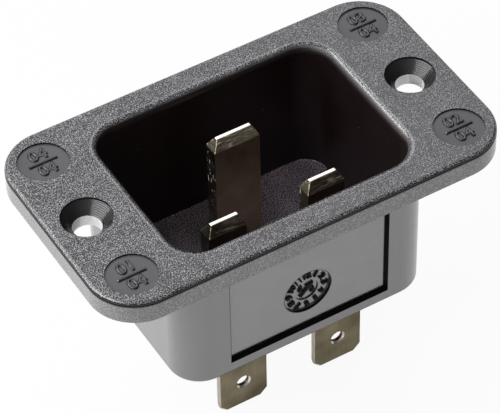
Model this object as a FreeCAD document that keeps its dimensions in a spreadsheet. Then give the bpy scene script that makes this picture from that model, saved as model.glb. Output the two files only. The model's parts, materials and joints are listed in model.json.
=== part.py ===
"""Screw-flange power inlet: a moulded housing that holds three riveted pins and their rear tabs.

The origin is the centre of the screw pattern on the flange's rear face, the face that meets the
panel. +Z points out of the panel, towards the plug, and +X runs from screw to screw.
"""
import FreeCAD, Part
import math
import os

import Sketcher

# Every driving size in millimetres, with the draft in degrees.
SIZES = {
    "flange_length": (52.0, "flange along X"),
    "flange_width": (29.5, "flange along Y"),
    "flange_thickness": (3.1, "flange along Z"),
    "flange_corner": (5.8, "flange corner radius"),
    "flange_edge": (0.5, "rounding of the flange's front edge"),
    "screw_spacing": (42.5, "centre to centre of the two screw holes"),
    "screw_hole": (3.4, "clearance hole of an M3 screw"),
    "screw_head": (6.0, "diameter sunk for the flat screw head"),
    "head_sink": (0.3, "straight depth above the head's cone"),
    "pad_row": (10.05, "marking pad centre from the long axis"),
    "pad_diameter": (6.0, "marking pad"),
    "pad_depth": (0.2, "marking pad, below the flange face"),
    "recess_length": (30.2, "recess mouth along X, at the flange face"),
    "recess_width": (21.8, "recess mouth along Y, at the flange face"),
    "recess_corner": (3.4, "corner radius of the recess mouth"),
    "recess_depth": (18.3, "flange face to recess floor"),
    "recess_draft": (1.2, "draft of the recess walls, in degrees"),
    "recess_rim": (1.2, "rounding of the recess mouth"),
    "floor_round": (0.15, "rounding where the recess walls meet its floor"),
    "end_wall": (1.3, "body wall at each end of the recess mouth"),
    "side_wall": (1.5, "body wall in front of the recess mouth and behind it"),
    "floor_wall": (2.3, "recess floor to the body's rear face"),
    "body_corner": (4.0, "corner radius of the body"),
    "body_edge": (0.4, "rounding of the body's rear edge"),
    "window_length": (21.1, "shallow window in the front wall, along X"),
    "window_height": (15.9, "window, down from the flange"),
    "window_depth": (0.53, "window, into the wall"),
    "dial_diameter": (6.2, "date dial in the window"),
    "dial_drop": (10.42, "dial centre below the flange rear face"),
    "dial_depth": (0.32, "dial face, below the window face"),
    "dial_core": (3.1, "diameter of the dial's turning core"),
    "dial_core_depth": (0.16, "core, below the dial face"),
    "pin_spacing": (13.0, "centre to centre of the line and neutral pins"),
    "power_row": (4.5, "line and neutral pins in front of the long axis"),
    "earth_row": (4.2, "earth pin behind the long axis"),
    "pin_thickness": (2.0, "all pins, along Y"),
    "power_pin_width": (5.0, "line and neutral pins, along X"),
    "earth_pin_width": (6.0, "earth pin, along X"),
    "power_tip_drop": (4.5, "line and neutral tips below the flange face"),
    "earth_tip_drop": (1.45, "earth tip below the flange face"),
    "pin_edge": (0.15, "rounding of the pins' long edges"),
    "tip_height": (1.35, "sloped part of a pin's tip"),
    "tip_inset": (0.75, "slope of the tip, in from every side"),
    "pin_seat": (0.5, "pin shoulder sunk in the recess floor"),
    "tail_width": (3.2, "rivet tail of a pin, along X"),
    "tail_thickness": (1.6, "rivet tail of a pin, along Y"),
    "rivet_margin": (0.6, "rivet head beyond the tail, all round"),
    "rivet_height": (0.7, "rivet head"),
    "rivet_bevel": (0.3, "bevel of the rivet head"),
    "slot_clearance": (0.05, "gap on each side of a pin, tail or tab foot in its slot"),
    "tab_width": (6.3, "rear tab, along X"),
    "tab_thickness": (0.8, "rear tab sheet"),
    "tab_step": (3.15, "pin centre to the middle of the tab sheet"),
    "tab_drop": (12.4, "tab tip below the body's rear face"),
    "tab_bend": (0.5, "inside radius where the foot turns into the tab"),
    "tab_corner": (0.8, "chamfer of the tab's two tip corners"),
    "tab_lead": (0.25, "bevel of the tab's tip, for the receptacle"),
    "tab_hole": (1.55, "detent hole in the tab"),
    "tab_hole_bevel": (0.2, "bevel round the detent hole"),
    "tab_hole_rise": (3.9, "hole centre above the tab's tip"),
    "foot_reach": (2.6, "tab foot past the pin centre"),
    "foot_seat": (0.4, "tab foot sunk in the body's rear face"),
}

BODY_LENGTH = "(Sizes.recess_length + 2 * Sizes.end_wall)"
BODY_WIDTH = "(Sizes.recess_width + 2 * Sizes.side_wall)"
BODY_DEPTH = "(Sizes.recess_depth - Sizes.flange_thickness + Sizes.floor_wall)"
RECESS_FLOOR = "(Sizes.flange_thickness - Sizes.recess_depth)"
PIN_SHOULDER = f"({RECESS_FLOOR} - Sizes.pin_seat)"
FOOT_FRONT = f"(Sizes.foot_seat - {BODY_DEPTH})"
FOOT_REAR = f"({FOOT_FRONT} - Sizes.tab_thickness)"
TAB_TIP = f"(-{BODY_DEPTH} - Sizes.tab_drop)"
SLOT_GAP = "2 * Sizes.slot_clearance"
TAIL_SLOT = (f"Sizes.tail_width + {SLOT_GAP}", f"Sizes.tail_thickness + {SLOT_GAP}")
FOOT_LENGTH = "(Sizes.foot_reach + Sizes.tab_step + Sizes.tab_thickness / 2)"
FOOT_MIDDLE = "(Sizes.foot_reach - Sizes.tab_step - Sizes.tab_thickness / 2) / 2"
RIVET_LENGTH = "Sizes.tail_width + 2 * Sizes.rivet_margin"
RIVET_WIDTH = "Sizes.tail_thickness + 2 * Sizes.rivet_margin"
RIVET_CORNER = "Sizes.rivet_margin + Sizes.tail_thickness / 4"
NEAR = 1e-4


def fill_sheet(doc):
    """Writes every size to its own named cell."""
    sheet = doc.addObject("Spreadsheet::Sheet", "Sizes")
    for row, (alias, (value, note)) in enumerate(SIZES.items(), 1):
        sheet.set(f"A{row}", note)
        sheet.set(f"B{row}", str(value))
        sheet.setAlias(f"B{row}", alias)
    doc.recompute()


def new_body(doc, label):
    """An empty body whose label names its file."""
    body = doc.addObject("PartDesign::Body", label)
    body.Label = label
    return body


def origin_plane(body, role):
    """One of the body's own origin planes."""
    return next(item for item in body.Origin.OriginFeatures if item.Role == role)


def new_sketch(body, name, role="XY_Plane", offset=None):
    """A sketch on an origin plane of its body, moved along the plane's normal."""
    sketch = body.newObject("Sketcher::SketchObject", name)
    sketch.AttachmentSupport = [(origin_plane(body, role), "")]
    sketch.MapMode = "FlatFace"
    if offset:
        sketch.setExpression("AttachmentOffset.Base.z", offset)
    return sketch


def bind(sketch, constraint, name, expression):
    """Adds a dimension to a sketch and ties it to the sheet."""
    sketch.addConstraint(constraint)
    sketch.renameConstraint(sketch.ConstraintCount - 1, name)
    sketch.setExpression(f"Constraints.{name}", expression)


def value_of(sketch, expression):
    """The number that an expression has now, for a sketch's first drawing."""
    return float(sketch.evalExpression(expression))


def draw_rectangle(sketch, length, width, x="0", y="0", tag=""):
    """A rectangle of two bound sides around a bound centre."""
    half_x = value_of(sketch, length) / 2
    half_y = value_of(sketch, width) / 2
    centre = FreeCAD.Vector(value_of(sketch, x), value_of(sketch, y), 0)
    corners = [
        centre + FreeCAD.Vector(sx * half_x, sy * half_y, 0)
        for sx, sy in ((-1, -1), (1, -1), (1, 1), (-1, 1))
    ]
    first = sketch.GeometryCount
    for k in range(4):
        sketch.addGeometry(Part.LineSegment(corners[k], corners[(k + 1) % 4]), False)
    for k in range(4):
        sketch.addConstraint(Sketcher.Constraint("Coincident", first + k, 2, first + (k + 1) % 4, 1))
    for k in (0, 2):
        sketch.addConstraint(Sketcher.Constraint("Horizontal", first + k))
        sketch.addConstraint(Sketcher.Constraint("Vertical", first + k + 1))
    side = first + 1
    left = f"({x}) - ({length}) / 2"
    low = f"({y}) - ({width}) / 2"
    bind(sketch, Sketcher.Constraint("DistanceX", first, 1, first, 2, 2 * half_x), f"length{tag}", length)
    bind(sketch, Sketcher.Constraint("DistanceY", side, 1, side, 2, 2 * half_y), f"width{tag}", width)
    bind(sketch, Sketcher.Constraint("DistanceX", -1, 1, first, 1, corners[0].x), f"left{tag}", left)
    bind(sketch, Sketcher.Constraint("DistanceY", -1, 1, first, 1, corners[0].y), f"low{tag}", low)


def draw_rounded_rectangle(sketch, length, width, radius):
    """A rectangle with four equal round corners, centred on the sketch's origin."""
    r = value_of(sketch, radius)
    half_x = value_of(sketch, length) / 2
    half_y = value_of(sketch, width) / 2
    inner_x = half_x - r
    inner_y = half_y - r
    vector = FreeCAD.Vector
    up = vector(0, 0, 1)
    turn = math.pi / 2
    sides = (
        (vector(-inner_x, -half_y, 0), vector(inner_x, -half_y, 0)),
        (vector(half_x, -inner_y, 0), vector(half_x, inner_y, 0)),
        (vector(inner_x, half_y, 0), vector(-inner_x, half_y, 0)),
        (vector(-half_x, inner_y, 0), vector(-half_x, -inner_y, 0)),
    )
    middles = ((inner_x, -inner_y), (inner_x, inner_y), (-inner_x, inner_y), (-inner_x, -inner_y))
    for k, (start, end) in enumerate(sides):
        sketch.addGeometry(Part.LineSegment(start, end), False)
        circle = Part.Circle(vector(*middles[k], 0), up, r)
        sketch.addGeometry(Part.ArcOfCircle(circle, (k - 1) * turn, k * turn), False)
    for k in range(8):
        sketch.addConstraint(Sketcher.Constraint("Tangent", k, 2, (k + 1) % 8, 1))
    for k in (0, 4):
        sketch.addConstraint(Sketcher.Constraint("Horizontal", k))
        sketch.addConstraint(Sketcher.Constraint("Vertical", k + 2))
    for k in (3, 5, 7):
        sketch.addConstraint(Sketcher.Constraint("Equal", 1, k))
    sketch.addConstraint(Sketcher.Constraint("Symmetric", 1, 3, 5, 3, -1, 1))
    bind(sketch, Sketcher.Constraint("Radius", 1, r), "radius", radius)
    bind(sketch, Sketcher.Constraint("DistanceX", 6, 1, 2, 1, 2 * half_x), "length", length)
    bind(sketch, Sketcher.Constraint("DistanceY", 0, 1, 4, 1, 2 * half_y), "width", width)


def draw_circle(sketch, diameter, x="0", y="0", tag=""):
    """A circle of bound diameter around a bound centre."""
    centre = FreeCAD.Vector(value_of(sketch, x), value_of(sketch, y), 0)
    size = value_of(sketch, diameter)
    k = sketch.addGeometry(Part.Circle(centre, FreeCAD.Vector(0, 0, 1), size / 2), False)
    bind(sketch, Sketcher.Constraint("Diameter", k, size), f"diameter{tag}", diameter)
    bind(sketch, Sketcher.Constraint("DistanceX", -1, 1, k, 3, centre.x), f"x{tag}", x)
    bind(sketch, Sketcher.Constraint("DistanceY", -1, 1, k, 3, centre.y), f"y{tag}", y)


def draw_profile(sketch, points):
    """A closed outline of straight sides through points given as pairs of expressions."""
    places = [FreeCAD.Vector(value_of(sketch, x), value_of(sketch, y), 0) for x, y in points]
    count = len(points)
    for k in range(count):
        sketch.addGeometry(Part.LineSegment(places[k], places[(k + 1) % count]), False)
    for k in range(count):
        sketch.addConstraint(Sketcher.Constraint("Coincident", k, 2, (k + 1) % count, 1))
    for k, (x, y) in enumerate(points):
        bind(sketch, Sketcher.Constraint("DistanceX", -1, 1, k, 1, places[k].x), f"x{k}", x)
        bind(sketch, Sketcher.Constraint("DistanceY", -1, 1, k, 1, places[k].y), f"y{k}", y)


def add_pad(body, sketch, name, length, downwards=False):
    """Grows the sketch along its normal, or against it."""
    pad = body.newObject("PartDesign::Pad", name)
    pad.Profile = sketch
    pad.Reversed = downwards
    pad.setExpression("Length", length)
    body.Document.recompute()
    return pad


def add_cut(body, sketch, name, length, upwards=False, draft=None):
    """Cuts the sketch into the body, against its normal or along it, and proves that it cut."""
    before = body.Shape.Volume
    pocket = body.newObject("PartDesign::Pocket", name)
    pocket.Profile = sketch
    pocket.Reversed = upwards
    pocket.setExpression("Length", length)
    if draft:
        pocket.setExpression("TaperAngle", draft)
    body.Document.recompute()
    check_cut(body, before, name)
    return pocket


def check_cut(body, before, name):
    """Stops the build if a cut took nothing away."""
    if body.Shape.Volume > before - NEAR:
        raise RuntimeError(f"{name} cuts nothing")


def edges_where(feature, test):
    """Names of the feature's edges whose ends and middle all pass the test."""
    names = []
    for k, edge in enumerate(feature.Shape.Edges, 1):
        middle = edge.valueAt((edge.FirstParameter + edge.LastParameter) / 2)
        points = [vertex.Point for vertex in edge.Vertexes] + [middle]
        if all(test(point) for point in points):
            names.append(f"Edge{k}")
    return names


def dress_edges(body, kind, name, size, test):
    """Rounds or chamfers the edges of the body's last feature that pass the test."""
    feature = body.Tip
    dress = body.newObject(f"PartDesign::{kind}", name)
    dress.Base = (feature, edges_where(feature, test))
    dress.setExpression("Radius" if kind == "Fillet" else "Size", size)
    body.Document.recompute()
    return dress


def number(doc, expression):
    """The value of an expression over the sheet."""
    return float(doc.Sizes.evalExpression(expression.replace("Sizes.", "")))


def at_height(doc, expression):
    """A test for points in the level plane at this height."""
    height = number(doc, expression)
    return lambda point: abs(point.z - height) < NEAR


POWER = ("-Sizes.power_row", "-1", "Sizes.power_pin_width", "Sizes.power_tip_drop")
EARTH = ("Sizes.earth_row", "1", "Sizes.earth_pin_width", "Sizes.earth_tip_drop")

# Each contact: name, pin centre along X, then along Y, side of its tab, pin width and tip drop.
CONTACTS = (
    ("line", "-Sizes.pin_spacing / 2", *POWER),
    ("neutral", "Sizes.pin_spacing / 2", *POWER),
    ("earth", "0", *EARTH),
)


def cut_screw_holes(body):
    """Two holes with a straight sink and a right-angled cone for a flat screw head."""
    before = body.Shape.Volume
    section = new_sketch(body, "screw_hole_section", "XZ_Plane")
    section.setExpression("AttachmentOffset.Base.x", "Sizes.screw_spacing / 2")
    head = "Sizes.screw_head / 2"
    hole = "Sizes.screw_hole / 2"
    cone_top = "Sizes.flange_thickness - Sizes.head_sink"
    draw_profile(section, (
        ("0", "0"),
        (hole, "0"),
        (hole, f"{cone_top} - {head} + {hole}"),
        (head, cone_top),
        (head, "Sizes.flange_thickness"),
        ("0", "Sizes.flange_thickness"),
    ))
    groove = body.newObject("PartDesign::Groove", "screw_hole")
    groove.Profile = section
    groove.ReferenceAxis = (section, ["V_Axis"])
    groove.Angle = 360
    body.Document.recompute()
    check_cut(body, before, "screw_hole")
    one_cut = body.Shape.Volume
    pair = body.newObject("PartDesign::Mirrored", "screw_hole_pair")
    pair.Originals = [groove]
    pair.MirrorPlane = (origin_plane(body, "YZ_Plane"), [""])
    body.Tip = pair
    body.Document.recompute()
    check_cut(body, one_cut, "screw_hole_pair")


def cut_marking_pads(body):
    """Four shallow round pads, in line with the screws, at the flange's corners."""
    sketch = new_sketch(body, "pad_circles", offset="Sizes.flange_thickness")
    for k, (sx, sy) in enumerate((("-", "-"), ("", "-"), ("", ""), ("-", ""))):
        x = f"{sx}Sizes.screw_spacing / 2"
        y = f"{sy}Sizes.pad_row"
        draw_circle(sketch, "Sizes.pad_diameter", x, y, tag=str(k))
    add_cut(body, sketch, "marking_pads", "Sizes.pad_depth")


def cut_window(body):
    """The shallow window in the front wall, open to the flange, with its sunk date dial and core."""
    sketch = new_sketch(body, "window_outline", "XZ_Plane", f"{BODY_WIDTH} / 2")
    draw_rectangle(sketch, "Sizes.window_length", "Sizes.window_height", y="-Sizes.window_height / 2")
    add_cut(body, sketch, "window", "Sizes.window_depth")
    window_face = f"{BODY_WIDTH} / 2 - Sizes.window_depth"
    sketch = new_sketch(body, "dial_outline", "XZ_Plane", window_face)
    draw_circle(sketch, "Sizes.dial_diameter", y="-Sizes.dial_drop")
    add_cut(body, sketch, "date_dial", "Sizes.dial_depth")
    sketch = new_sketch(body, "dial_core_outline", "XZ_Plane", f"{window_face} - Sizes.dial_depth")
    draw_circle(sketch, "Sizes.dial_core", y="-Sizes.dial_drop")
    add_cut(body, sketch, "date_dial_core", "Sizes.dial_core_depth")


def cut_contact_seats(body):
    """Where the contacts sit: pin seats in the floor, tail slots through it, foot seats behind it."""
    pins = new_sketch(body, "pin_seat_outlines", offset=RECESS_FLOOR)
    tails = new_sketch(body, "tail_slot_outlines", offset=PIN_SHOULDER)
    feet = new_sketch(body, "foot_seat_outlines", offset=f"-{BODY_DEPTH}")
    for k, (_, x, y, side, pin_width, _) in enumerate(CONTACTS):
        tag = str(k)
        foot_y = f"({y}) - ({side}) * {FOOT_MIDDLE}"
        draw_rectangle(pins, f"{pin_width} + {SLOT_GAP}", f"Sizes.pin_thickness + {SLOT_GAP}", x, y, tag)
        draw_rectangle(tails, *TAIL_SLOT, x, y, tag)
        draw_rectangle(feet, f"Sizes.tab_width + {SLOT_GAP}", f"{FOOT_LENGTH} + {SLOT_GAP}", x, foot_y, tag)
    add_cut(body, pins, "pin_seats", "Sizes.pin_seat")
    add_cut(body, feet, "foot_seats", "Sizes.foot_seat", upwards=True)
    add_cut(body, tails, "tail_slots", f"{PIN_SHOULDER} - {FOOT_FRONT}")


def build_housing(doc):
    """The one-piece moulding: flange, body, drafted recess and the seats of all contacts."""
    body = new_body(doc, "housing")

    outline = new_sketch(body, "flange_outline")
    draw_rounded_rectangle(outline, "Sizes.flange_length", "Sizes.flange_width", "Sizes.flange_corner")
    add_pad(body, outline, "flange", "Sizes.flange_thickness")

    outline = new_sketch(body, "body_outline")
    draw_rounded_rectangle(outline, BODY_LENGTH, BODY_WIDTH, "Sizes.body_corner")
    add_pad(body, outline, "body_block", BODY_DEPTH, downwards=True)
    dress_edges(body, "Fillet", "body_rear_edge", "Sizes.body_edge", at_height(doc, f"-{BODY_DEPTH}"))

    mouth = new_sketch(body, "recess_mouth", offset="Sizes.flange_thickness")
    draw_rounded_rectangle(mouth, "Sizes.recess_length", "Sizes.recess_width", "Sizes.recess_corner")
    add_cut(body, mouth, "recess", "Sizes.recess_depth", draft="-Sizes.recess_draft")
    dress_edges(body, "Fillet", "recess_floor_round", "Sizes.floor_round", at_height(doc, RECESS_FLOOR))

    on_face = at_height(doc, "Sizes.flange_thickness")
    mouth_x = number(doc, "Sizes.recess_length") / 2 + NEAR
    mouth_y = number(doc, "Sizes.recess_width") / 2 + NEAR

    def in_mouth(point):
        return abs(point.x) < mouth_x and abs(point.y) < mouth_y

    dress_edges(body, "Fillet", "recess_rim_round", "Sizes.recess_rim",
                lambda point: on_face(point) and in_mouth(point))
    rim = number(doc, "Sizes.recess_rim")

    def past_rim(point):
        return abs(point.x) > mouth_x + rim or abs(point.y) > mouth_y + rim

    dress_edges(body, "Fillet", "flange_front_edge", "Sizes.flange_edge",
                lambda point: on_face(point) and past_rim(point))

    cut_screw_holes(body)
    cut_marking_pads(body)
    cut_window(body)
    cut_contact_seats(body)
    return body


def build_pin(doc, name, x, y, width, tip_drop):
    """A solid flat pin: sloped tip, shoulder in the floor, riveted tail behind it."""
    body = new_body(doc, f"{name}_pin")
    tip = f"(Sizes.flange_thickness - {tip_drop})"
    slope_start = f"({tip} - Sizes.tip_height)"

    shank = new_sketch(body, f"{name}_shank_outline", offset=PIN_SHOULDER)
    draw_rounded_rectangle(shank, width, "Sizes.pin_thickness", "Sizes.pin_edge")
    add_pad(body, shank, f"{name}_shank", f"{slope_start} - {PIN_SHOULDER}")

    base = new_sketch(body, f"{name}_slope_base", offset=slope_start)
    draw_rounded_rectangle(base, width, "Sizes.pin_thickness", "Sizes.pin_edge")
    land = new_sketch(body, f"{name}_tip_land", offset=tip)
    inset = "2 * Sizes.tip_inset"
    draw_rounded_rectangle(land, f"{width} - {inset}", f"Sizes.pin_thickness - {inset}", "Sizes.pin_edge")
    slopes = body.newObject("PartDesign::AdditiveLoft", f"{name}_tip")
    slopes.Profile = base
    slopes.Sections = [land]
    slopes.Ruled = True
    doc.recompute()

    tail = new_sketch(body, f"{name}_tail_outline", offset=PIN_SHOULDER)
    draw_rectangle(tail, "Sizes.tail_width", "Sizes.tail_thickness")
    add_pad(body, tail, f"{name}_tail", f"{PIN_SHOULDER} - {FOOT_REAR}", downwards=True)

    head = new_sketch(body, f"{name}_rivet_outline", offset=FOOT_REAR)
    draw_rounded_rectangle(head, RIVET_LENGTH, RIVET_WIDTH, RIVET_CORNER)
    add_pad(body, head, f"{name}_rivet_head", "Sizes.rivet_height", downwards=True)
    rivet_end = at_height(doc, f"{FOOT_REAR} - Sizes.rivet_height")
    dress_edges(body, "Chamfer", f"{name}_rivet_bevel", "Sizes.rivet_bevel", rivet_end)

    place(body, x, y)
    return body


def build_tab(doc, name, x, y, side):
    """A quick-connect tab: a foot riveted to the pin, turned down into the blade for the receptacle."""
    body = new_body(doc, f"{name}_tab")
    inner = "-Sizes.tab_step + Sizes.tab_thickness / 2"
    outer = "-Sizes.tab_step - Sizes.tab_thickness / 2"

    section = new_sketch(body, f"{name}_sheet_section", "YZ_Plane")
    draw_profile(section, (
        ("Sizes.foot_reach", FOOT_REAR),
        ("Sizes.foot_reach", FOOT_FRONT),
        (outer, FOOT_FRONT),
        (outer, TAB_TIP),
        (inner, TAB_TIP),
        (inner, FOOT_REAR),
    ))
    sheet = add_pad(body, section, f"{name}_sheet", "Sizes.tab_width")
    sheet.Midplane = True
    doc.recompute()

    inner_y = number(doc, inner)
    outer_y = number(doc, outer)

    def on_inner(point):
        return abs(point.y - inner_y) < NEAR

    def on_outer(point):
        return abs(point.y - outer_y) < NEAR

    foot_rear = at_height(doc, FOOT_REAR)
    foot_front = at_height(doc, FOOT_FRONT)
    dress_edges(body, "Fillet", f"{name}_inner_bend", "Sizes.tab_bend",
                lambda point: foot_rear(point) and on_inner(point))
    dress_edges(body, "Fillet", f"{name}_outer_bend", "Sizes.tab_bend + Sizes.tab_thickness",
                lambda point: foot_front(point) and on_outer(point))

    half_width = number(doc, "Sizes.tab_width") / 2
    at_tip = at_height(doc, TAB_TIP)
    dress_edges(body, "Chamfer", f"{name}_tip_corners", "Sizes.tab_corner",
                lambda point: at_tip(point) and abs(abs(point.x) - half_width) < NEAR)
    lead_top = number(doc, f"{TAB_TIP} + Sizes.tab_corner") + NEAR
    dress_edges(body, "Chamfer", f"{name}_tip_lead", "Sizes.tab_lead",
                lambda point: point.z < lead_top and (on_inner(point) or on_outer(point)))

    hole_height = f"{TAB_TIP} + Sizes.tab_hole_rise"
    hole = new_sketch(body, f"{name}_hole_outline", "XZ_Plane")
    draw_circle(hole, "Sizes.tab_hole", y=hole_height)
    add_cut(body, hole, f"{name}_hole", "Sizes.tab_step + Sizes.tab_thickness", upwards=True)
    hole_z = number(doc, hole_height)
    hole_reach = number(doc, "Sizes.tab_hole") / 2 + NEAR
    dress_edges(body, "Chamfer", f"{name}_hole_edges", "Sizes.tab_hole_bevel",
                lambda point: math.hypot(point.x, point.z - hole_z) < hole_reach
                and (on_inner(point) or on_outer(point)))

    slot = new_sketch(body, f"{name}_slot_outline", offset=FOOT_FRONT)
    draw_rectangle(slot, *TAIL_SLOT)
    add_cut(body, slot, f"{name}_slot", "Sizes.tab_thickness")

    place(body, x, y, turned=side == "1")
    return body


def place(body, x, y, turned=False):
    """Puts a contact piece at its pin's centre, turned half round where its tab faces the other way."""
    if turned:
        body.Placement.Rotation = FreeCAD.Rotation(FreeCAD.Vector(0, 0, 1), 180)
    body.setExpression("Placement.Base.x", x)
    body.setExpression("Placement.Base.y", y)
    body.Document.recompute()


def write_parts(doc, bodies):
    """Checks every object and every solid, then writes one file for each piece."""
    failed = [item.Label for item in doc.Objects if {"Invalid", "Error"} & set(item.State)]
    failed += [body.Label for body in bodies if body.Shape.isNull() or not body.Shape.isValid()]
    if failed:
        raise RuntimeError(f"failed: {', '.join(failed)}")
    os.makedirs("parts", exist_ok=True)
    for body in bodies:
        body.Shape.exportStep(f"parts/{body.Label}.step")
        print(f"{body.Label}: {len(body.Shape.Solids)} solid, {body.Shape.Volume:.2f} cubic mm")


def main():
    doc = FreeCAD.newDocument("power_inlet")
    fill_sheet(doc)
    bodies = [build_housing(doc)]
    for name, x, y, side, width, tip_drop in CONTACTS:
        bodies.append(build_pin(doc, name, x, y, width, tip_drop))
        bodies.append(build_tab(doc, name, x, y, side))
    doc.recompute()
    write_parts(doc, bodies)


main()
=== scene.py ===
# %% [markdown]
# # A power inlet for a panel, dressed for its portrait
#
# The inlet is a black moulding with a screw flange, a deep recess and three plated pins. The solids
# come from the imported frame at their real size. This lesson leaves them where they are and gives
# every surface the finish that its mould or its press left on it. Lengths are in millimetres until a
# mesh is made of them, because Blender's own unit is the metre. Only the table and the lamps, which
# are far larger, are in metres from the start.

# %% Load the frame
import json
import math

import bmesh
import bpy
from mathutils import Matrix, Vector


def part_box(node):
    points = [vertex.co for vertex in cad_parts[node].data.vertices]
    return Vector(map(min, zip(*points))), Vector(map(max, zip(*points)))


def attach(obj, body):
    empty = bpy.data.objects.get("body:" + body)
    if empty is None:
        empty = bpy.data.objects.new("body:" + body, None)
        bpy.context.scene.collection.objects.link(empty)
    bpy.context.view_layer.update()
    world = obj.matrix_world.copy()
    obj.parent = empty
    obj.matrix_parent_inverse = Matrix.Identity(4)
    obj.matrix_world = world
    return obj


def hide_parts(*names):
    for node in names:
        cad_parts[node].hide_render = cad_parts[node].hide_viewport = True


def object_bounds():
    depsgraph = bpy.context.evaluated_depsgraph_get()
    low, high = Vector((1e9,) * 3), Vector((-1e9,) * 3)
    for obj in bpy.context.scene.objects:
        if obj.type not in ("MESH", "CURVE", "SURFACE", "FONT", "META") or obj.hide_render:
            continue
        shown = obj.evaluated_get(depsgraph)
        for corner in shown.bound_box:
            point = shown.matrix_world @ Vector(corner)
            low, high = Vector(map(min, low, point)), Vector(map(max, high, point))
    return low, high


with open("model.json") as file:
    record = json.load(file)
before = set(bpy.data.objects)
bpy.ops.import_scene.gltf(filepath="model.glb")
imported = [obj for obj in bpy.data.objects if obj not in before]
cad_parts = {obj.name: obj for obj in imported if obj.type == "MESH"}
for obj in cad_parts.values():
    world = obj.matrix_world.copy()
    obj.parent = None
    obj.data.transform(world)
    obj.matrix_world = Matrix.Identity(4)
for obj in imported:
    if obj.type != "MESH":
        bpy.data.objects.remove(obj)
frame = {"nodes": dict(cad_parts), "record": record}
cad_low, cad_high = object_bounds()
MM = 0.001
scene = bpy.context.scene
print("nodes:", sorted(frame["nodes"]))

# %% [markdown]
# ## Where things are
#
# A lesson that measures the frame can't drift away from it, so the flange, the screws and the pins
# are read from the node boxes and the mounts. Only what a box can't tell, such as how deep the window
# lies in its wall, is written down as a size.

# %% Measures
mounts = {mount["name"]: mount for mount in frame["record"]["mounts"]}
SCREW_X = mounts["flange_screws"]["dims"]["spacing_x_mm"] / 2
SCREW_HEAD_RADIUS = 3.0
FLANGE_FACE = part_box("housing")[1].z / MM
FLOOR = cad_low.z / MM
BODY_FRONT = -12.4
WINDOW_DEPTH = 0.53
WINDOW_FACE = BODY_FRONT + WINDOW_DEPTH
WINDOW_HALF = 10.55
WINDOW_FOOT = -15.9
DIAL_CENTRE = -10.42
DIAL_RADIUS = 3.1
DIAL_DEPTH = 0.32
DIAL_FACE = WINDOW_FACE + DIAL_DEPTH
CORE_DEPTH = 0.16
CORE_FACE = DIAL_FACE + CORE_DEPTH
PAD_ROW = 10.05
PAD_RADIUS = 3.0
PAD_DEPTH = 0.2
PAD_FACE = FLANGE_FACE - PAD_DEPTH
MOUTH_HALF = (15.1, 10.9)
MOUTH_RIM = 1.2
RECESS_FLOOR = -15.2
print(f"flange face {FLANGE_FACE:.2f} mm, screws at {SCREW_X:.2f} mm, floor at {FLOOR:.2f} mm")

# %% [markdown]
# ## Shader sums as Python sums
#
# A finish is a small graph of nodes, and most of its nodes are sums. The wrapper below lets a socket
# take part in a Python expression, so that a mask reads as it would on paper, such as 1 - mask. The
# alternative, a call for every sum, hides the formula. Numbers alone stay in Python and make no node.

# %% Socket wrapper
class Wire:
    """An output socket of a graph, ready for sums."""

    def __init__(self, graph, socket):
        self.graph = graph
        self.socket = socket

    def math(self, operation, first, second):
        return self.graph.node("ShaderNodeMath", {"operation": operation}, {0: first, 1: second})

    def __add__(self, other):
        return self.math("ADD", self, other)

    def __sub__(self, other):
        return self.math("SUBTRACT", self, other)

    def __rsub__(self, other):
        return self.math("SUBTRACT", other, self)

    def __mul__(self, other):
        return self.math("MULTIPLY", self, other)

    def __pow__(self, other):
        return self.math("POWER", self, other)

    def __abs__(self):
        return self.graph.node("ShaderNodeMath", {"operation": "ABSOLUTE"}, {0: self})

    __radd__ = __add__
    __rmul__ = __mul__


print("sums on sockets: + - * ** abs")

# %% [markdown]
# ## Any other node
#
# Every other node comes from one method. It makes the node, sets it up, because a setting can change
# which sockets count, and then feeds the sockets with values or links. A ramp's stops are a setting.

# %% Graph
class Graph:
    """A node tree that is filled by name, settings and sockets."""

    def __init__(self, tree):
        self.tree = tree
        self.tree.nodes.clear()

    def node(self, kind, settings, sockets, out=0):
        made = self.tree.nodes.new(kind)
        for name, value in settings.items():
            if name == "stops":
                self.set_stops(made.color_ramp, value)
            else:
                setattr(made, name, value)
        for key, value in sockets.items():
            if isinstance(value, Wire):
                self.tree.links.new(value.socket, made.inputs[key])
            else:
                made.inputs[key].default_value = value
        return Wire(self, made.outputs[out]) if made.outputs else None

    def set_stops(self, ramp, stops):
        while len(ramp.elements) < len(stops):
            ramp.elements.new(1.0)
        for element, (position, colour) in zip(ramp.elements, stops):
            element.position = position
            element.color = (*colour, 1.0)


print("graph builder ready")

# %% [markdown]
# ## A finish and its grain
#
# Every finish here reads Object coordinates, so a pattern stays where it is when the piece turns. The
# grain is a noise whose size is given in marks per millimetre, because that is what a ruler or the
# photograph tells. Most of a noise lies in the middle of its range, so a soft tone runs between two
# colours there.

# %% Finish
NOISE_RANGE = (0.3, 0.7)
LESS_GREEN = 0.985


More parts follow.
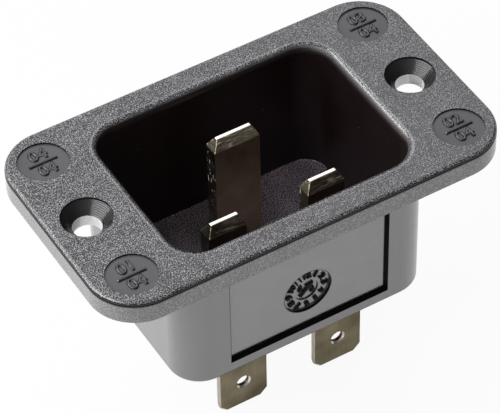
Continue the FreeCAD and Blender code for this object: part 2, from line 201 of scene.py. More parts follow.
class Finish(Graph):
    """A material under construction."""

    def __init__(self, name):
        self.material = bpy.data.materials.new(name)
        self.material.use_nodes = True
        super().__init__(self.material.node_tree)
        self.place = self.node("ShaderNodeTexCoord", {}, {}, out="Object")

    def spread(self, per_mm, stretch=(1.0, 1.0, 1.0)):
        scale = tuple(per_mm / MM * part for part in stretch)
        return self.node("ShaderNodeMapping", {}, {"Vector": self.place, "Scale": scale})

    def grain(self, per_mm, detail=1.0, roughness=0.5, stretch=(1.0, 1.0, 1.0)):
        place = self.spread(per_mm, stretch)
        sockets = {"Vector": place, "Scale": 1.0, "Detail": detail, "Roughness": roughness}
        return self.node("ShaderNodeTexNoise", {}, sockets)

    def specks(self, per_mm, radius_mm):
        sockets = {"Vector": self.spread(per_mm), "Scale": 1.0}
        away = self.node("ShaderNodeTexVoronoi", {}, sockets, out="Distance")
        return away.math("LESS_THAN", away, radius_mm * per_mm)

    def tone(self, factor, *stops):
        return self.node("ShaderNodeValToRGB", {"stops": stops}, {"Fac": factor})

    def soft_tone(self, factor, low, high):
        return self.tone(factor, *zip(NOISE_RANGE, (low, high)))

    def along(self, axis):
        return self.node("ShaderNodeSeparateXYZ", {}, {"Vector": self.place}, out=axis)

    def span(self, value, none, full):
        sockets = {"Value": value, "From Min": none, "From Max": full}
        return self.node("ShaderNodeMapRange", {}, sockets)

    def between(self, length, none_mm, full_mm):
        return self.span(length, none_mm * MM, full_mm * MM)

    def mix(self, factor, first, second):
        sockets = {0: factor, 6: (*first, 1.0), 7: second}
        return self.node("ShaderNodeMix", {"data_type": "RGBA"}, sockets, out=2)

    def bump(self, height, depth_mm):
        sockets = {"Height": height, "Distance": depth_mm * MM, "Strength": 1.0}
        return self.node("ShaderNodeBump", {}, sockets)

    def end(self, shader):
        self.node("ShaderNodeOutputMaterial", {}, {"Surface": shader})
        return self.material

    def principled(self, **sockets):
        named = {name.replace("_", " "): value for name, value in sockets.items()}
        return self.end(self.node("ShaderNodeBsdfPrincipled", {}, named))


def grey(value):
    return (value, value * LESS_GREEN, value)


print("finish builder ready")

# %% [markdown]
# ## Grained plastic
#
# The flange copies a spark-eroded mould wall: a field of fine pits whose edges sparkle. One noise gives
# both the tone and the depth of the pits, so that they agree. The pale end of that tone is partly the
# plastic's own mottle and partly painted glints, and towards the right end the tone is calmed, a painted
# falloff of the light from the left. Over the mouth's rounding, where the smooth recess begins, the tone
# fades to plain black: partly the recess's own black, partly painted shade, which reaches a little higher
# on the right. Just under the flange's edge it fades to black as a painted dark reflection, the dark line
# of that edge.

# %% Grained plastic
GRAIN_PER_MM = 7.5
GRAIN_STOPS = (0.42, 0.52, 0.63)
GRAIN_MIDDLE = 0.18
GRAIN_CLOUDS_PER_MM = 0.3
CLOUD_SHARE = 0.1
PIT_GLOSS = 0.2
BLACK = (0.006, 0.006, 0.006)
FADED_ROUGH = 0.5
# Painted falloff: the grain's painted glints are calmed towards the right end.
PAINTED_FALLOFF_REACH = (-40.0, 16.0)
PAINTED_FALLOFF_SHARE = 0.42


def grained_plastic(name, low, high, rough, depth_mm, ior=1.6, coat=0.0, painted_dark_fade=None, shade_slant=0.0, painted_falloff_tone=None):
    finish = Finish(name)
    pits = finish.grain(GRAIN_PER_MM)
    cloud = finish.grain(GRAIN_CLOUDS_PER_MM, detail=2.0)
    middle = tuple(dark + (light - dark) * GRAIN_MIDDLE for dark, light in zip(low, high))
    field = pits * (1 - CLOUD_SHARE) + cloud * CLOUD_SHARE
    # The pale end of this tone is partly the plastic's own mottle and partly painted glints.
    tone = finish.tone(field, *zip(GRAIN_STOPS, (low, middle, high)))
    # Painted falloff of the light from the left: towards the right end the tone is pulled towards one flat
    # colour.
    if painted_falloff_tone:
        kept = 1 - PAINTED_FALLOFF_SHARE * finish.between(finish.along("X"), *PAINTED_FALLOFF_REACH)
        tone = finish.mix(kept, painted_falloff_tone, tone)
    # Painted dark fade to black, with the gloss dulled: at the mouth partly the recess's own black and
    # partly painted shade, under the flange's edge a painted dark reflection.
    if painted_dark_fade:
        kept = finish.between(finish.along("Z") - finish.along("X") * shade_slant, *painted_dark_fade)
        rough = rough + FADED_ROUGH * (1 - kept) ** 3
        pits = pits * kept
        tone = finish.mix(kept, BLACK, tone)
        coat = kept * coat if coat else 0.0
    return finish.principled(
        Base_Color=tone, Roughness=rough - pits * PIT_GLOSS, IOR=ior, Normal=finish.bump(pits, depth_mm),
        Coat_Weight=coat, Coat_Roughness=0.15, Coat_IOR=1.8)


print(f"grain of {GRAIN_PER_MM} pits to the millimetre")

# %% [markdown]
# ## Smooth plastic
#
# The outer walls come from a smooth mould and mirror the table, so a clear coat lies over their dark tone.
# Thin dark lines are painted beside the window and round the dial, as painted shade at their edges, and
# the window's face is painted dark just above its sill, as painted shade. The recess walls are the
# plastic's own black, painted darker still as painted shade, and have caught a few specks of dust.

# %% Smooth plastic
SMOOTH_CLOUDS_PER_MM = 0.2
SMOOTH_CLOUD_ROUGH = 0.08
RIPPLES_PER_MM = 0.6
RIPPLE_DEPTH = 0.003
# Where painted shade goes: thin lines at the window's and the dial's edges, and a band just above the
# window's sill.
WINDOW_EDGE_SHADE = (WINDOW_HALF - 0.32, WINDOW_HALF - 0.42)
WINDOW_SILL_PAINTED_SHADE = (WINDOW_FOOT + 0.5, WINDOW_FOOT + 0.6)
DIAL_EDGE_SHADE = (DIAL_RADIUS + 0.05, DIAL_RADIUS + 0.12)
DUST = (0.3, 0.28, 0.25)
DUST_PER_MM = 0.6
DUST_RADIUS = 0.06


def clear_of_seams(finish):
    """A mask that is one on the window's face and nothing on the painted edge shade beside it and round
    the dial.
    """
    beside = finish.along("X")
    above = finish.along("Z") - DIAL_CENTRE * MM
    away = (beside * beside + above * above) ** 0.5
    return finish.between(abs(beside), *WINDOW_EDGE_SHADE) * finish.between(away, *DIAL_EDGE_SHADE)


def smooth_plastic(name, low, high, rough, ior=1.5, coat=0.0, edge_and_sill_shaded=False, dusty=False):
    finish = Finish(name)
    cloud = finish.grain(SMOOTH_CLOUDS_PER_MM, detail=3.0)
    ripple = finish.grain(RIPPLES_PER_MM)
    tone = finish.soft_tone(cloud, low, high)
    if dusty:
        tone = finish.mix(1 - finish.specks(DUST_PER_MM, DUST_RADIUS), DUST, tone)
    # Painted shade: dark lines at the window's and the dial's edges, and a dark band above the sill.
    if edge_and_sill_shaded:
        kept = clear_of_seams(finish)
        sill_shade = finish.between(finish.along("Z"), *WINDOW_SILL_PAINTED_SHADE)
        tone = finish.mix(kept * sill_shade, BLACK, tone)
        coat = kept * coat
    return finish.principled(
        Base_Color=tone, Roughness=rough + cloud * SMOOTH_CLOUD_ROUGH, IOR=ior,
        Normal=finish.bump(ripple, RIPPLE_DEPTH), Coat_Weight=coat, Coat_Roughness=0.04, Coat_IOR=2.3)


print(f"dial seam from {DIAL_EDGE_SHADE[0]:.2f} to {DIAL_EDGE_SHADE[1]:.2f} mm")

# %% [markdown]
# ## Turned plastic
#
# The screw seats keep the rings of the tool that cut them into the mould. A sine of the height gives
# the rings, because on a cone every height is one circle. Rings in the mesh would cost many faces.

# %% Turned plastic
SEAT_CLOUDS_PER_MM = 0.8
SEAT_CLOUD_ROUGH = 0.1
RING_PITCH = 0.17
RING_DEPTH = 0.007


def turned_plastic(name, low, high, rough, ior):
    finish = Finish(name)
    phase = finish.along("Z") * (math.tau / (RING_PITCH * MM))
    rings = finish.node("ShaderNodeMath", {"operation": "SINE"}, {0: phase})
    cloud = finish.grain(SEAT_CLOUDS_PER_MM, detail=2.0)
    return finish.principled(
        Base_Color=finish.soft_tone(cloud, low, high), Roughness=rough + cloud * SEAT_CLOUD_ROUGH,
        Normal=finish.bump(rings, RING_DEPTH), IOR=ior)


print(f"rings {RING_PITCH} mm apart")

# %% [markdown]
# ## One plastic, many faces
#
# The whole housing is one black plastic, and each of its mould walls gives that plastic another look. Some
# of these finishes also carry painted light or painted shade, as noted at each.
# A finish for each wall is easier to match to the photograph than one material with many masks.

# %% Grained walls
# The rim's fade to black is partly the recess's own black and partly painted shade; the slant makes the
# shade reach a little higher on the right.
RIM_BLACK_AND_SHADE_FADE = (FLANGE_FACE - 0.38, FLANGE_FACE - 0.14)
RIM_SHADE_SLANT = 0.004
# Painted dark reflection: the flange's side fades to black just under its edge.
SIDE_PAINTED_DARK_LINE = (FLANGE_FACE - 0.58, FLANGE_FACE - 0.84)
# Tones of rubbed edges and of the mouth's rim; their pale end is partly painted glints.
RUBBED_WITH_GLINTS = ((0.02, 0.019, 0.021), (0.4, 0.388, 0.412))

grained = (
    grained_plastic(
        "flange_grain", (0.008, 0.007, 0.009), (0.5, 0.485, 0.515), rough=0.38, depth_mm=0.11, ior=1.5,
        painted_falloff_tone=(0.165, 0.16, 0.17)),
    grained_plastic("edge_rubbed_with_glints", *RUBBED_WITH_GLINTS, rough=0.24, depth_mm=0.03, ior=1.8),
    # The lower part of the outer rounding is near black: a painted dark reflection, the dark line along
    # the flange's edge.
    grained_plastic("edge_grain_painted_dark", grey(0.003), grey(0.008), rough=0.32, depth_mm=0.02),
    grained_plastic(
        "side_grain", grey(0.11), grey(0.31), rough=0.5, depth_mm=0.02, ior=1.3, coat=1.0, painted_dark_fade=SIDE_PAINTED_DARK_LINE),
    grained_plastic(
        "rim_grain", *RUBBED_WITH_GLINTS, rough=0.2, depth_mm=0.02, ior=2.0, painted_dark_fade=RIM_BLACK_AND_SHADE_FADE, shade_slant=RIM_SHADE_SLANT),
    grained_plastic("floor_grain", (0.012, 0.009, 0.012), (0.58, 0.48, 0.56), rough=0.5, depth_mm=0.08),
)
print("grained walls:", [material.name for material in grained])

# %% Smooth walls
WINDOW_TONES = (grey(0.115), grey(0.15))

smooth = (
    # The recess walls: the plastic's own black, painted darker than the outer walls as painted shade, with
    # real specks of dust.
    smooth_plastic("recess_black_and_shade", (0.007, 0.003, 0.0035), (0.012, 0.005, 0.006), rough=0.35, dusty=True),
    # Small sunk walls and ledges of the pads, the window, the dial and the screws' upper bores: the
    # plastic's own black, painted darker than the outer walls as painted shade.
    smooth_plastic("edge_black_and_shade", grey(0.003), grey(0.006), rough=0.4, ior=1.25),
    # The dial's figures are the dial's own plastic, painted near black as painted shade.
    smooth_plastic("figure_painted_dark", grey(0.002), grey(0.004), rough=0.6, ior=1.3),
    smooth_plastic("pad_smooth", (0.06, 0.056, 0.066), (0.088, 0.083, 0.095), rough=0.36),
    # The pads' marks are the pad's own plastic, painted darker than the pad as painted shade.
    smooth_plastic("mark_gloss_painted_dark", (0.01, 0.009, 0.011), (0.015, 0.014, 0.016), rough=0.08, ior=1.7),
    smooth_plastic("body_gloss", grey(0.052), grey(0.07), rough=0.22, coat=1.0),
    smooth_plastic("window_gloss", *WINDOW_TONES, rough=0.2, coat=1.0, edge_and_sill_shaded=True),
    smooth_plastic("dial_gloss", *WINDOW_TONES, rough=0.2, coat=1.0),
    # The bore's wall is painted pale grey: painted light, standing in for the light that the bright table
    # throws up into the screw holes.
    smooth_plastic("bore_painted_light", grey(0.6), grey(0.8), rough=0.3, coat=1.0),
    turned_plastic("seat_turned", grey(0.006), grey(0.012), rough=0.16, ior=1.7),
)
FINISHES = {material.name: material for material in (*grained, *smooth)}
print("smooth walls:", [material.name for material in smooth])

# %% [markdown]
# ## Sorting the moulding's faces
#
# Each face of the housing goes to the finish of the mould wall that shaped it. The place and the
# direction of a face are enough to tell which wall that was. The alternative, one material with masks,
# would hide the same tests inside a shader, where they are harder to read.

# %% Places on the housing
NEAR = 0.05


def ring_distance(x, y, centre_x, centre_y):
    return math.hypot(x - centre_x, y - centre_y)


def by_screw(point):
    return ring_distance(abs(point.x), point.y, SCREW_X, 0) < SCREW_HEAD_RADIUS + NEAR


def by_pad(point):
    return ring_distance(abs(point.x), abs(point.y), SCREW_X, PAD_ROW) < PAD_RADIUS + NEAR


def in_mouth(point, spare):
    return abs(point.x) < MOUTH_HALF[0] + spare and abs(point.y) < MOUTH_HALF[1] + spare


print("the middle is in the mouth:", in_mouth(Vector(), 0.0))

# %% Face tests
FLAT = 0.99
STEEP = 0.1
RIM_TURN = 0.64
EDGE_TURN = 0.52
TOUCH = 0.01


def screw_finish(point, normal):
    if normal.z > STEEP:
        return "seat_turned"
    # The upper bore wall is black with painted shade; the bore below it gets painted light.
    return "edge_black_and_shade" if point.z > FLANGE_FACE / 2 else "bore_painted_light"


def flange_finish(point, normal):
    if by_screw(point) and normal.z < FLAT:
        return screw_finish(point, normal)
    if by_pad(point) and FLANGE_FACE / 2 < point.z < FLANGE_FACE - TOUCH:
        return "pad_smooth" if normal.z > FLAT else "edge_black_and_shade"
    if in_mouth(point, MOUTH_RIM + NEAR) and normal.z < FLAT:
        return "rim_grain" if normal.z > RIM_TURN else "recess_black_and_shade"
    if normal.z < STEEP:
        return "side_grain"
    if normal.z > FLAT:
        return "flange_grain"
    return "edge_rubbed_with_glints" if normal.z > EDGE_TURN else "edge_grain_painted_dark"


def wall_finish(point, normal):
    if in_mouth(point, 0.0) and point.z > RECESS_FLOOR - NEAR:
        return "floor_grain" if normal.z > STEEP else "recess_black_and_shade"
    sunk = BODY_FRONT + TOUCH < point.y < CORE_FACE + NEAR and abs(point.x) < WINDOW_HALF + NEAR
    if sunk and normal.y > -FLAT:
        return "edge_black_and_shade"
    if sunk:
        return "dial_gloss" if point.y > WINDOW_FACE + NEAR else "window_gloss"
    return "body_gloss"


def housing_finish(point, normal):
    return (flange_finish if point.z > 0 else wall_finish)(point, normal)


between_pads = Vector((SCREW_X, PAD_ROW / 2, FLANGE_FACE))
print("a level face between the pads gets", housing_finish(between_pads, Vector((0, 0, 1))))

# %% [markdown]
# ## Merged copies
#
# A node arrives as loose triangles with the exact normals of its curved faces. A copy is merged, so
# that its edges are shared, and gets those normals back, because flat walls would otherwise look bent
# beside a rounding. The copy replaces the node in the picture.

# %% Copy helpers
MERGE_WITHIN = 0.0005


def link(name, mesh, materials):
    for material in materials:
        mesh.materials.append(material)
    piece = bpy.data.objects.new(name, mesh)
    scene.collection.objects.link(piece)
    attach(piece, "root")
    return piece


def to_mesh(name, shell):
    mesh = bpy.data.meshes.new(name)
    shell.to_mesh(mesh)
    shell.free()
    return mesh


def dressed_copy(node, name, finishes, choose):
    """A merged copy of a node, its faces sorted into finishes by place and direction."""
    source = frame["nodes"][node].data
    normals = [corner.vector.copy() for corner in source.corner_normals]
    shell = bmesh.new()
    shell.from_mesh(source)
    bmesh.ops.remove_doubles(shell, verts=shell.verts, dist=MERGE_WITHIN * MM)
    names = list(finishes)
    counts = dict.fromkeys(names, 0)
    for face in shell.faces:
        chosen = choose(face.calc_center_median() / MM, face.normal)
        face.material_index = names.index(chosen)
        counts[chosen] += 1
    mesh = to_mesh(name, shell)
    mesh.normals_split_custom_set(normals)
    print(name, "faces by finish:", counts)
    return link(name, mesh, finishes.values())


print(f"copies merge corners within {MERGE_WITHIN} mm")

# %% Housing
moulding = dressed_copy("housing", "housing_moulding", FINISHES, housing_finish)
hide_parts("housing")

# %% [markdown]
# ## Plating on the contacts
#
# Pins and tabs are stamped from strip and plated. Rolling leaves faint lines along the strip, the
# plating is a little warm, and handling leaves soft stains. One function makes every plated finish:
# lines that follow the strip, stains over them, and bright flecks where metal was torn or struck.

# %% Plating
FLECK = (0.85, 0.78, 0.64)
FLECKS_PER_MM = 3.5
FLECK_ROUGH = 0.65
FLECK_STAIN_SHARE = 0.3
STAIN_SHARE = 0.85
STAIN_ROUGH = 0.12
LINE_ROUGH = 0.06


def plated(name, dark, light, rough, along, lines_per_mm, depth_mm, stains_per_mm=0.45, flecked=None):
    finish = Finish(name)
    lines = finish.grain(lines_per_mm, detail=2.0, stretch=along)
    stain = finish.grain(stains_per_mm, detail=3.0, roughness=0.6)
    tone = finish.soft_tone(stain * STAIN_SHARE + lines * (1 - STAIN_SHARE), dark, light)
    rough = rough + stain * STAIN_ROUGH + lines * LINE_ROUGH
    if flecked:
        chips = finish.grain(FLECKS_PER_MM, stretch=along)
        flecks = finish.span(chips * (1 - FLECK_STAIN_SHARE) + stain * FLECK_STAIN_SHARE, *flecked)
        tone = finish.mix(1 - flecks, FLECK, tone)
        rough = rough + flecks * FLECK_ROUGH
    return finish.principled(
        Base_Color=tone, Metallic=1.0, Roughness=rough, Normal=finish.bump(lines, depth_mm))


print("plating ready")

# %% [markdown]
# ## What each face of a contact went through
#
# The stamped sides of a pin are torn rather than rolled, so they are uneven and sparkle. The slopes of its
# tip are struck with a die, the small slopes at the two ends are painted darker as painted shade, and
# plugs have rubbed the top bright. On a tab the strip is darker, its cut edges are pale, and the wall of
# its hole is painted dark as painted shade.

# %% Metal finishes
UPRIGHT = (1.0, 1.0, 0.06)
TORN = (1.0, 1.0, 0.3)
STRUCK = (0.3, 1.0, 1.0)
FEW_FLECKS = (0.63, 0.68)
MANY_FLECKS = (0.53, 0.75)

pin_rolled = plated(
    "pin_rolled", (0.36, 0.28, 0.19), (0.64, 0.53, 0.4), rough=0.22, along=UPRIGHT, lines_per_mm=6.0,
    depth_mm=0.0002, stains_per_mm=0.2)
pin_worn = plated(
    "pin_worn", (0.74, 0.71, 0.63), (0.86, 0.84, 0.77), rough=0.16, along=UPRIGHT, lines_per_mm=6.0,
    depth_mm=0.001)
pin_struck = plated(
    "pin_struck", (0.23, 0.185, 0.115), (0.72, 0.635, 0.5), rough=0.22, along=STRUCK, lines_per_mm=5.0,
    depth_mm=0.08, flecked=MANY_FLECKS)
# Painted shade: the small end slopes of the tip are made darker than the struck slopes.
pin_end_shade = plated(
    "pin_end_shade", (0.15, 0.13, 0.09), (0.46, 0.41, 0.32), rough=0.26, along=TORN, lines_per_mm=5.0,
    depth_mm=0.06)
pin_torn = plated(
    "pin_torn", (0.3, 0.27, 0.2), (0.9, 0.86, 0.75), rough=0.16, along=TORN, lines_per_mm=3.5,
    depth_mm=0.06, flecked=FEW_FLECKS)
tab_rolled = plated(
    "tab_rolled", (0.08, 0.064, 0.03), (0.3, 0.26, 0.17), rough=0.22, along=UPRIGHT, lines_per_mm=9.0,
    depth_mm=0.001, stains_per_mm=0.13)
tab_cut = plated(
    "tab_cut", (0.42, 0.39, 0.32), (0.62, 0.59, 0.51), rough=0.22, along=TORN, lines_per_mm=3.5,
    depth_mm=0.01)
# Painted shade: the wall of the tab's hole is made dark.
tab_hole_wall_shade = plated(
    "tab_hole_wall_shade", (0.04, 0.032, 0.016), (0.12, 0.1, 0.06), rough=0.3, along=TORN, lines_per_mm=3.5,
    depth_mm=0.01)
PIN_FINISHES = (pin_rolled, pin_torn, pin_worn, pin_struck, pin_end_shade)
TAB_FINISHES = {"rolled": tab_rolled, "cut": tab_cut, "hole_in_shade": tab_hole_wall_shade, "rubbed": pin_worn}
print("pin finishes:", [material.name for material in PIN_FINISHES])
print("tab finishes:", list(TAB_FINISHES))

# %% [markdown]
# ## The pins
#
# A pin is a flat bar with a sloped tip, a shoulder that sits in the recess floor and a tail that is
# riveted behind it. It grows face by face from one block, so it stays a single closed skin, and its
# edges get the small rounding that makes them shine. The boxes of the nodes give width and reach.

# %% Mesh helpers
def grow(shell, face, size, rise):
    """Extrudes a level face, brings the new face to a size and lifts it."""
    made = bmesh.ops.extrude_face_region(shell, geom=[face])
    cap = next(item for item in made["geom"] if isinstance(item, bmesh.types.BMFace))
    centre = cap.calc_center_bounds()
    old = [max(v.co[k] for v in cap.verts) - min(v.co[k] for v in cap.verts) for k in (0, 1)]
    spread = (size[0] * MM / old[0], size[1] * MM / old[1], 1)
    bmesh.ops.scale(shell, verts=cap.verts, vec=spread, space=Matrix.Translation(-centre))
    bmesh.ops.translate(shell, verts=cap.verts, vec=(0, 0, rise * MM))
    return cap


def round_edges(shell, edges, radius, segments):
    bmesh.ops.bevel(shell, geom=edges, offset=radius * MM, segments=segments, profile=0.5,
                    affect="EDGES", material=-1, clamp_overlap=True)


def top_of(edge):
    return max(v.co.z for v in edge.verts) / MM


def level_edges(shell, height):
    return [e for e in shell.edges if all(abs(v.co.z / MM - height) < TOUCH for v in e.verts)]


print("mesh helpers ready")

# %% Pin builder
PIN_THICKNESS = 2.0
TIP_HEIGHT = 1.35
TIP_INSET = 0.75
SEAT_DEPTH = 0.5
SHOULDER = RECESS_FLOOR - SEAT_DEPTH
TAIL_SIZE = (3.2, 1.6)
RIVET_SIZE = (4.4, 2.8)
RIVET_HEIGHT = 0.7
RIVET_CORNER = 0.9
RIVET_ROUND = 0.3
LONG_ROUND = 0.09


def pin_shell(low, high):
    width = high.x - low.x
    middle = (low + high) / 2
    top = high.z - TIP_HEIGHT
    rivet_top = low.z + RIVET_HEIGHT
    block = Matrix.Translation(Vector((middle.x, middle.y, (top + SHOULDER) / 2)) * MM)
    size = Matrix.Diagonal((width * MM, PIN_THICKNESS * MM, (top - SHOULDER) * MM, 1))
    shell = bmesh.new()
    bmesh.ops.create_cube(shell, size=1.0, matrix=block @ size)
    upper = max(shell.faces, key=lambda face: face.calc_center_median().z)
    lower = min(shell.faces, key=lambda face: face.calc_center_median().z)
    grow(shell, upper, (width - 2 * TIP_INSET, PIN_THICKNESS - 2 * TIP_INSET), TIP_HEIGHT)
    blade = [e for e in shell.edges if top_of(e) > SHOULDER + TOUCH]
    tail = grow(shell, lower, TAIL_SIZE, 0)
    neck = grow(shell, tail, TAIL_SIZE, rivet_top - SHOULDER)
    flare = grow(shell, neck, RIVET_SIZE, 0)
    grow(shell, flare, RIVET_SIZE, -RIVET_HEIGHT)
    round_edges(shell, blade, LONG_ROUND, 3)
    upright = [e for e in shell.edges
               if e.verts[0].co.xy == e.verts[1].co.xy and top_of(e) < rivet_top + TOUCH]
    round_edges(shell, upright, RIVET_CORNER, 5)
    round_edges(shell, level_edges(shell, low.z), RIVET_ROUND, 3)
    bmesh.ops.recalc_face_normals(shell, faces=shell.faces)
    return shell


print(f"pins {PIN_THICKNESS} mm thick, shoulders at {SHOULDER:.2f} mm")

# %% Pins
TORN_SIDE = 0.9
WORN_END = 0.75
SHADED_END = 0.8
STRUCK_SLOPE = 0.2
SHARP_TURN = math.radians(32)


def pin_finish(normal):
    if abs(normal.x) > TORN_SIDE:
        return pin_torn
    if normal.z > WORN_END:
        return pin_worn
    # Painted shade on the small end slopes of the tip.
    if abs(normal.x) > SHADED_END:
        return pin_end_shade
    return pin_struck if normal.z > STRUCK_SLOPE else pin_rolled


for node in ("line_pin", "neutral_pin", "earth_pin"):
    shell = pin_shell(*(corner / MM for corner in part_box(node)))
    for face in shell.faces:
        face.material_index = PIN_FINISHES.index(pin_finish(face.normal))
        face.smooth = True
    mesh = to_mesh(f"{node}_plated", shell)
    mesh.set_sharp_from_angle(angle=SHARP_TURN)
    pin = link(f"{node}_plated", mesh, PIN_FINISHES)
    pin.modifiers.new("even_normals", "WEIGHTED_NORMAL").keep_sharp = True
    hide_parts(node)
    print(node, len(mesh.polygons), "faces")

# %% [markdown]
# ## The tabs
#
# The tabs' own solids have every bend, bevel and hole already, so merged copies of them are enough.
# The faces of the strip keep the rolled finish. The stamped sides and the tip's bevels are cut metal,
# which is paler. The hole's wall is painted dark as painted shade, and connectors have rubbed its bevel
# bright.

# %% Tabs
TIP_BEVEL = FLOOR + 1.2
HOLE_HEIGHT = FLOOR + 3.9
HOLE_REACH = 1.0
STAMPED_TURN = 0.02


def tab_finish(point, normal, middle_x):
    turned_away = abs(normal.y) < FLAT
    if turned_away and ring_distance(point.x, point.z, middle_x, HOLE_HEIGHT) < HOLE_REACH:
        # The hole's wall gets painted shade; its bevel is rubbed bright.
        return "hole_in_shade" if abs(normal.y) < STEEP else "rubbed"
    stamped = abs(normal.x) > STAMPED_TURN
    bevelled = turned_away and point.z < TIP_BEVEL
    return "cut" if stamped or bevelled else "rolled"


for node in ("line_tab", "neutral_tab", "earth_tab"):
    middle_x = sum(corner.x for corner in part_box(node)) / 2 / MM
    tab = dressed_copy(node, f"{node}_plated", TAB_FINISHES, lambda *face: tab_finish(*face, middle_x))
    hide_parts(node)

# %% [markdown]
# ## The date dial
#
# A moulder turns a small steel insert each month, and it leaves a dial in the plastic: a ring of
# month numbers, and an arrow in the core that points at one of them. Text makes the numbers. It
# becomes a mesh first, and its place is applied to the mesh, so that the piece ends at the origin.

# %% Figure builder
CAP_HEIGHT = 0.72
FIGURE_MERGE = 0.0001


def figure_mesh(words, height_mm, thick_mm, weight_mm, round_mm):
    curve = bpy.data.curves.new("figure", "FONT")
    curve.body = words
    curve.align_x = "CENTER"
    curve.align_y = "CENTER"
    curve.size = height_mm * MM / CAP_HEIGHT
    curve.offset = weight_mm * MM
    curve.extrude = (thick_mm / 2 - round_mm) * MM
    curve.bevel_depth = round_mm * MM
    curve.bevel_resolution = 2
    curve.resolution_u = 4
    carrier = bpy.data.objects.new("figure", curve)
    mesh = bpy.data.meshes.new_from_object(carrier)
    bpy.data.objects.remove(carrier)
    bpy.data.curves.remove(curve)
    return mesh


def add_figure(shell, words, place, height_mm, rise_mm, thick_mm, weight_mm, round_mm):
    mesh = figure_mesh(words, height_mm, thick_mm, weight_mm, round_mm)
    mesh.transform(place @ Matrix.Translation((0, 0, (rise_mm - thick_mm / 2) * MM)))
    shell.from_mesh(mesh)
    bpy.data.meshes.remove(mesh)


def link_figures(name, shell, finish):
    bmesh.ops.remove_doubles(shell, verts=shell.verts, dist=FIGURE_MERGE * MM)
    piece = link(name, to_mesh(name, shell), [finish])
    print(name, len(piece.data.polygons), "faces")


print("figure builder ready")

# %% Dial numbers
NUMBER_RING = 2.33
NUMBER_STYLE = dict(height_mm=0.85, rise_mm=0.22, thick_mm=0.22, weight_mm=0.04, round_mm=0.02)
CORE_DIGITS = (("2", -0.8, 0.55), ("4", 0.8, -0.55))


def on_dial(face_y):
    return Matrix.Translation((0, face_y * MM, DIAL_CENTRE * MM)) @ Matrix.Rotation(math.pi / 2, 4, "X")


numbers = bmesh.new()
for month in range(1, 13):
    turn = Matrix.Rotation(-month * math.pi / 6, 4, "Z") @ Matrix.Translation((0, NUMBER_RING * MM, 0))
    add_figure(numbers, str(month), on_dial(DIAL_FACE) @ turn, **NUMBER_STYLE)
for digit, place_x, place_y in CORE_DIGITS:
    beside = Matrix.Translation((place_x * MM, place_y * MM, 0))
    add_figure(numbers, digit, on_dial(CORE_FACE) @ beside, **NUMBER_STYLE)
# The numbers carry painted shade: near black.
link_figures("dial_numbers", numbers, FINISHES["figure_painted_dark"])

# %% [markdown]
# ## The dial's arrow
#
# The arrow is a flat outline of a few corners, extruded once. Its two sides mirror each other, so only
# one of them is written down.

# %% Dial arrow
ARROW_TURN = math.radians(-45)
ARROW_RISE = 0.22
ARROW_HALF = ((0, 1.3), (0.62, 0.35), (0.2, 0.35), (0.2, -1.2))

outline = [*ARROW_HALF, *((-x, y) for x, y in ARROW_HALF[:0:-1])]
arrow = bmesh.new()
arrow.faces.new([arrow.verts.new((x * MM, y * MM, 0)) for x, y in outline])
made = bmesh.ops.extrude_face_region(arrow, geom=arrow.faces[:])
raised = [item for item in made["geom"] if isinstance(item, bmesh.types.BMVert)]
bmesh.ops.translate(arrow, verts=raised, vec=(0, 0, ARROW_RISE * MM))
bmesh.ops.recalc_face_normals(arrow, faces=arrow.faces)
arrow.transform(on_dial(CORE_FACE) @ Matrix.Rotation(ARROW_TURN, 4, "Z"))
# The arrow carries the same painted shade: near black.
link_figures("dial_arrow", arrow, FINISHES["figure_painted_dark"])

# %% [markdown]
# ## Marks on the flange's pads
#
# The four sunk pads are where a moulder puts raised marks. Plain numbers stand there, the number of the
# mould insert over the count of inserts with a bar between. Their strokes are half-round, with the lower
# half sunk in the pad, and end a little lower than the flange's own face.

# %% Pad numbers
MARK_RISE = 0.19
MARK_THICK = 0.36
MARK_ROUND = 0.16
MARK_MIDDLE = MARK_RISE - MARK_THICK / 2
MARK_STYLE = dict(
    height_mm=1.6, rise_mm=MARK_RISE, thick_mm=MARK_THICK, weight_mm=-0.07, round_mm=MARK_ROUND)
MARK_ROW = 1.25
BAR = (3.6, 0.4)
PAD_SIDES = ((-1, -1), (1, -1), (1, 1), (-1, 1))


def add_bar(shell, place):
    size = Matrix.Diagonal((BAR[0] * MM, BAR[1] * MM, MARK_THICK * MM, 1))
    lifted = Matrix.Translation((0, 0, MARK_MIDDLE * MM))
    made = bmesh.ops.create_cube(shell, size=1.0, matrix=place @ lifted @ size)
    upper = {v for v in made["verts"] if v.co.z > (PAD_FACE + MARK_MIDDLE) * MM}
    round_edges(shell, [e for e in shell.edges if upper.issuperset(e.verts)], MARK_ROUND, 3)


marks = bmesh.new()
for number, (side_x, side_y) in enumerate(PAD_SIDES, 1):
    place = Matrix.Translation(Vector((side_x * SCREW_X, side_y * PAD_ROW, PAD_FACE)) * MM)
    for words, row in ((f"0{number}", MARK_ROW), (f"0{len(PAD_SIDES)}", -MARK_ROW)):
        add_figure(marks, words, place @ Matrix.Translation((0, row * MM, 0)), **MARK_STYLE)
    add_bar(marks, place)
# The marks carry painted shade: darker than the pad.
link_figures("pad_numbers", marks, FINISHES["mark_gloss_painted_dark"])

# %% [markdown]
# ## The camera
#
# The photograph was taken from the front left, looking down, with a long lens. Its place was found by
# fitting the flange, the screws and the pins to the picture.

# %% Camera
AZIMUTH = math.radians(-30.253)
ELEVATION = math.radians(46.271)
ROLL = math.radians(-1.289)
DISTANCE = 339.886
TARGET = Vector((-1.111, -1.186, -5.382))
FOCAL_PIXELS = 2978.42
FRAME_PIXELS = 500
SENSOR_WIDTH = 36.0
NEAREST_SEEN = 10.0

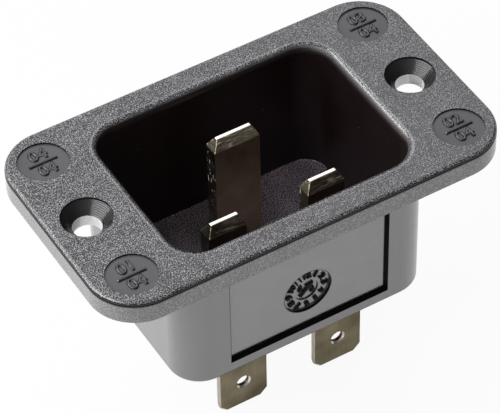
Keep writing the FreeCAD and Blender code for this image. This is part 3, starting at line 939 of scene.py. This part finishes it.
back = Vector((
    math.sin(AZIMUTH) * math.cos(ELEVATION),
    -math.cos(AZIMUTH) * math.cos(ELEVATION),
    math.sin(ELEVATION),
))
right = Vector((math.cos(AZIMUTH), math.sin(AZIMUTH), 0))
up = back.cross(right)
rolled_right = right * math.cos(ROLL) + up * math.sin(ROLL)
rolled_up = up * math.cos(ROLL) - right * math.sin(ROLL)

camera_data = bpy.data.cameras.new("portrait")
camera_data.sensor_fit = "HORIZONTAL"
camera_data.sensor_width = SENSOR_WIDTH
camera_data.lens = FOCAL_PIXELS * SENSOR_WIDTH / FRAME_PIXELS
camera_data.clip_start = NEAREST_SEEN * MM
camera = bpy.data.objects.new("portrait", camera_data)
turned = Matrix((rolled_right, rolled_up, back)).transposed().to_4x4()
camera.matrix_world = Matrix.Translation((TARGET + back * DISTANCE) * MM) @ turned
scene.collection.objects.link(camera)
scene.camera = camera
print(f"camera {DISTANCE:.0f} mm away, lens {camera_data.lens:.1f} mm")

# %% [markdown]
# ## The table
#
# The inlet stands on its tabs on a white table. The table is white by its colour. What the camera
# sees of it is lifted towards plain white, so that only a faint shadow is left, and gloss and metal
# see part of that white too.

# %% Table
TABLE_SIZE = 5.0
TABLE_COLOUR = (0.88, 0.88, 0.88, 1)
SEEN_LIFT = 0.93
MIRRORED_LIFT = 0.4

sheet = bmesh.new()
bmesh.ops.create_grid(sheet, x_segments=1, y_segments=1, size=TABLE_SIZE / 2)
bmesh.ops.translate(sheet, verts=sheet.verts, vec=(0, 0, FLOOR * MM))
table_mesh = to_mesh("table", sheet)

paper = Finish("table_paper")
plain = paper.node("ShaderNodeBsdfDiffuse", {}, {"Color": TABLE_COLOUR})
glow = paper.node("ShaderNodeEmission", {}, {"Color": (1, 1, 1, 1), "Strength": 1.0})
seen = paper.node("ShaderNodeLightPath", {}, {}, out="Is Camera Ray")
mirrored = paper.node("ShaderNodeLightPath", {}, {}, out="Is Glossy Ray")
passed = paper.node("ShaderNodeLightPath", {}, {}, out="Is Transmission Ray")
lift = seen * SEEN_LIFT + mirrored * MIRRORED_LIFT + passed * MIRRORED_LIFT
paper.end(paper.node("ShaderNodeMixShader", {}, {0: lift, 1: plain, 2: glow}))

table_mesh.materials.append(paper.material)
table = bpy.data.objects.new("table", table_mesh)
scene.collection.objects.link(table)
print(f"table {TABLE_SIZE:.0f} m wide")

# %% [markdown]
# ## The lamps
#
# A large soft light hangs behind the inlet, where the flange mirrors it. A long strip of light stands
# on the left, which brightens the left end and makes the grain and every edge that turns that way
# sparkle. A narrow softbox at the back left draws the highlight on the mouth's rounding. A lamp is
# given by its brightness, so that its size can change and the light on the inlet follows.

# %% Lamps
def soft_lamp(name, way, distance, size, radiance, roll=0.0):
    data = bpy.data.lights.new(name, "AREA")
    data.shape = "RECTANGLE"
    data.size, data.size_y = size
    data.energy = radiance * math.pi * size[0] * size[1]
    lamp = bpy.data.objects.new(name, data)
    turn = Vector(way).to_track_quat("Z", "Y").to_matrix().to_4x4() @ Matrix.Rotation(roll, 4, "Z")
    lamp.matrix_world = Matrix.Translation(Vector(way).normalized() * distance) @ turn
    scene.collection.objects.link(lamp)
    print(f"{name}: {data.energy:.1f} W")


soft_lamp("back_softbox", way=(0.35, 0.6, 0.72), distance=1.0, size=(1.0, 0.8), radiance=1.5)
soft_lamp(
    "left_strip", way=(-0.8, 0.13, 0.59), distance=0.3, size=(0.37, 0.11), radiance=5.6,
    roll=math.radians(22))
soft_lamp("rim_softbox", way=(-0.38, 0.58, 0.72), distance=0.3, size=(0.05, 0.12), radiance=6.0)

# %% [markdown]
# ## The room
#
# The room itself is pale on the left and dim on the right, so that rounded edges show a light and a dark
# side. Its level follows the angle to the pale side, smoothly, and has no edge that a gloss would show.

# %% Room
PALE_SIDE = Vector((-0.85, 0.3, 0.4)).normalized()
DIM_LEVEL = 0.08
PALE_LEVEL = 0.6

world = bpy.data.worlds.new("room")
world.use_nodes = True
room = Graph(world.node_tree)
way = room.node("ShaderNodeTexCoord", {}, {}, out="Generated")
sockets = {0: way, 1: PALE_SIDE}
toward = room.node("ShaderNodeVectorMath", {"operation": "DOT_PRODUCT"}, sockets, out="Value")
level = DIM_LEVEL + PALE_LEVEL * (toward * 0.5 + 0.5) ** 2
sky = room.node("ShaderNodeBackground", {}, {"Color": (1, 1, 1, 1), "Strength": level})
room.node("ShaderNodeOutputWorld", {}, {"Surface": sky})
scene.world = world
scene.view_settings.view_transform = "Standard"
print(f"room level from {DIM_LEVEL:.2f} to {DIM_LEVEL + PALE_LEVEL:.2f}")
